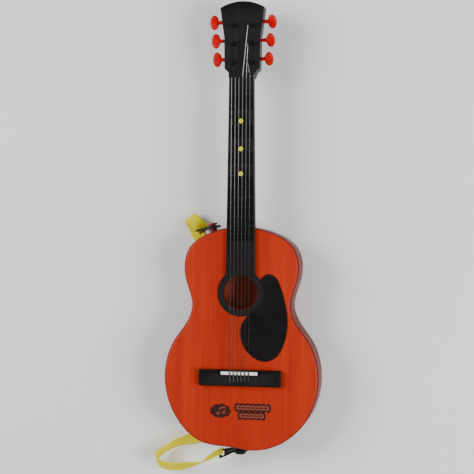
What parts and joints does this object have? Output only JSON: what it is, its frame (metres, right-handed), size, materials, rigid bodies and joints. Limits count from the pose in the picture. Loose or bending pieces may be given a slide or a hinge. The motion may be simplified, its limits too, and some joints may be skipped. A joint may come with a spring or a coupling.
{
  "type": "toy guitar",
  "caption": "Toy guitar with a hollow plastic body, metal strings over a bridge and nut, geared tuners that turn, and a webbing shoulder strap.",
  "frame": {"origin": "middle of the flat rest pad on the back, on the surface the guitar lies on", "axes": "+Z out of the soundboard, +Y along the neck to the headstock, +X to the right seen from the front"},
  "size_m": [0.2067, 0.5738, 0.0602],
  "materials": {
    "sunburst_top": "glossy, slightly streaked red-orange mahogany colour",
    "body_shell": "glossy dark red-brown",
    "black_satin": "satin black moulded plastic",
    "saddle_white": "satin white",
    "dot_yellow": "smooth yellow",
    "knob_red": "glossy red",
    "button_red": "glossy dark red",
    "string_wound": "fine wound wire",
    "string_plain": "bright plain wire",
    "brass": "plain brass",
    "screw_steel": "zinc-plated steel",
    "webbing_yellow": "woven yellow webbing"
  },
  "bodies": {
    "root": {"front_panel": "sunburst_top", "back_shell": "body_shell", "rosette": "black_satin", "pickguard": "black_satin", "neck_front": "black_satin", "neck_back": "black_satin", "nut": "black_satin", "position_dots": "dot_yellow", "bridge": "black_satin", "saddle": "saddle_white", "string_ball_ends": "brass", "strap_button_upper": "button_red", "strap_button_tail": "black_satin", "strap_button_screws": "screw_steel", "strap_tab_upper": "black_satin", "strap_tab_tail": "black_satin", "strap_webbing": "webbing_yellow", "body_screws": "screw_steel", "neck_screws": "screw_steel", "headstock_screws": "screw_steel", "bridge_screws": "screw_steel", "string_1": "string_wound", "string_2": "string_wound", "string_3": "string_wound", "string_4": "string_plain", "string_5": "string_plain", "string_6": "string_plain"},
    "tuner_1": {"tuner_knob_1": "knob_red", "tuner_shaft_1": "knob_red"},
    "post_1": {"string_post_1": "black_satin", "string_winding_1": "string_wound"},
    "tuner_2": {"tuner_knob_2": "knob_red", "tuner_shaft_2": "knob_red"},
    "post_2": {"string_post_2": "black_satin", "string_winding_2": "string_wound"},
    "tuner_3": {"tuner_knob_3": "knob_red", "tuner_shaft_3": "knob_red"},
    "post_3": {"string_post_3": "black_satin", "string_winding_3": "string_wound"},
    "tuner_4": {"tuner_knob_4": "knob_red", "tuner_shaft_4": "knob_red"},
    "post_4": {"string_post_4": "black_satin", "string_winding_4": "string_plain"},
    "tuner_5": {"tuner_knob_5": "knob_red", "tuner_shaft_5": "knob_red"},
    "post_5": {"string_post_5": "black_satin", "string_winding_5": "string_plain"},
    "tuner_6": {"tuner_knob_6": "knob_red", "tuner_shaft_6": "knob_red"},
    "post_6": {"string_post_6": "black_satin", "string_winding_6": "string_plain"}
  },
  "joints": [
    {"name": "tuner_1_turn", "type": "hinge", "parent": "root", "child": "tuner_1", "pos_m": [-0.0318, 0.336, 0.041], "axis": [1, 0, 0], "continuous": true},
    {"name": "post_1_turn", "type": "hinge", "parent": "root", "child": "post_1", "pos_m": [-0.011, 0.331, 0.041], "axis": [0, 0, 1], "continuous": true},
    {"name": "tuner_2_turn", "type": "hinge", "parent": "root", "child": "tuner_2", "pos_m": [-0.0336, 0.3586, 0.041], "axis": [1, 0, 0], "continuous": true},
    {"name": "post_2_turn", "type": "hinge", "parent": "root", "child": "post_2", "pos_m": [-0.011, 0.3536, 0.041], "axis": [0, 0, 1], "continuous": true},
    {"name": "tuner_3_turn", "type": "hinge", "parent": "root", "child": "tuner_3", "pos_m": [-0.0355, 0.381, 0.041], "axis": [1, 0, 0], "continuous": true},
    {"name": "post_3_turn", "type": "hinge", "parent": "root", "child": "post_3", "pos_m": [-0.011, 0.376, 0.041], "axis": [0, 0, 1], "continuous": true},
    {"name": "tuner_4_turn", "type": "hinge", "parent": "root", "child": "tuner_4", "pos_m": [0.0318, 0.336, 0.041], "axis": [1, 0, 0], "continuous": true},
    {"name": "post_4_turn", "type": "hinge", "parent": "root", "child": "post_4", "pos_m": [0.011, 0.331, 0.041], "axis": [0, 0, 1], "continuous": true},
    {"name": "tuner_5_turn", "type": "hinge", "parent": "root", "child": "tuner_5", "pos_m": [0.0336, 0.3586, 0.041], "axis": [1, 0, 0], "continuous": true},
    {"name": "post_5_turn", "type": "hinge", "parent": "root", "child": "post_5", "pos_m": [0.011, 0.3536, 0.041], "axis": [0, 0, 1], "continuous": true},
    {"name": "tuner_6_turn", "type": "hinge", "parent": "root", "child": "tuner_6", "pos_m": [0.0355, 0.381, 0.041], "axis": [1, 0, 0], "continuous": true},
    {"name": "post_6_turn", "type": "hinge", "parent": "root", "child": "post_6", "pos_m": [0.011, 0.376, 0.041], "axis": [0, 0, 1], "continuous": true}
  ],
  "couplings": [
    {"joint": "post_1_turn", "follows": "tuner_1_turn", "ratio": 0.083333},
    {"joint": "post_2_turn", "follows": "tuner_2_turn", "ratio": 0.083333},
    {"joint": "post_3_turn", "follows": "tuner_3_turn", "ratio": 0.083333},
    {"joint": "post_4_turn", "follows": "tuner_4_turn", "ratio": 0.083333},
    {"joint": "post_5_turn", "follows": "tuner_5_turn", "ratio": 0.083333},
    {"joint": "post_6_turn", "follows": "tuner_6_turn", "ratio": 0.083333}
  ]
}
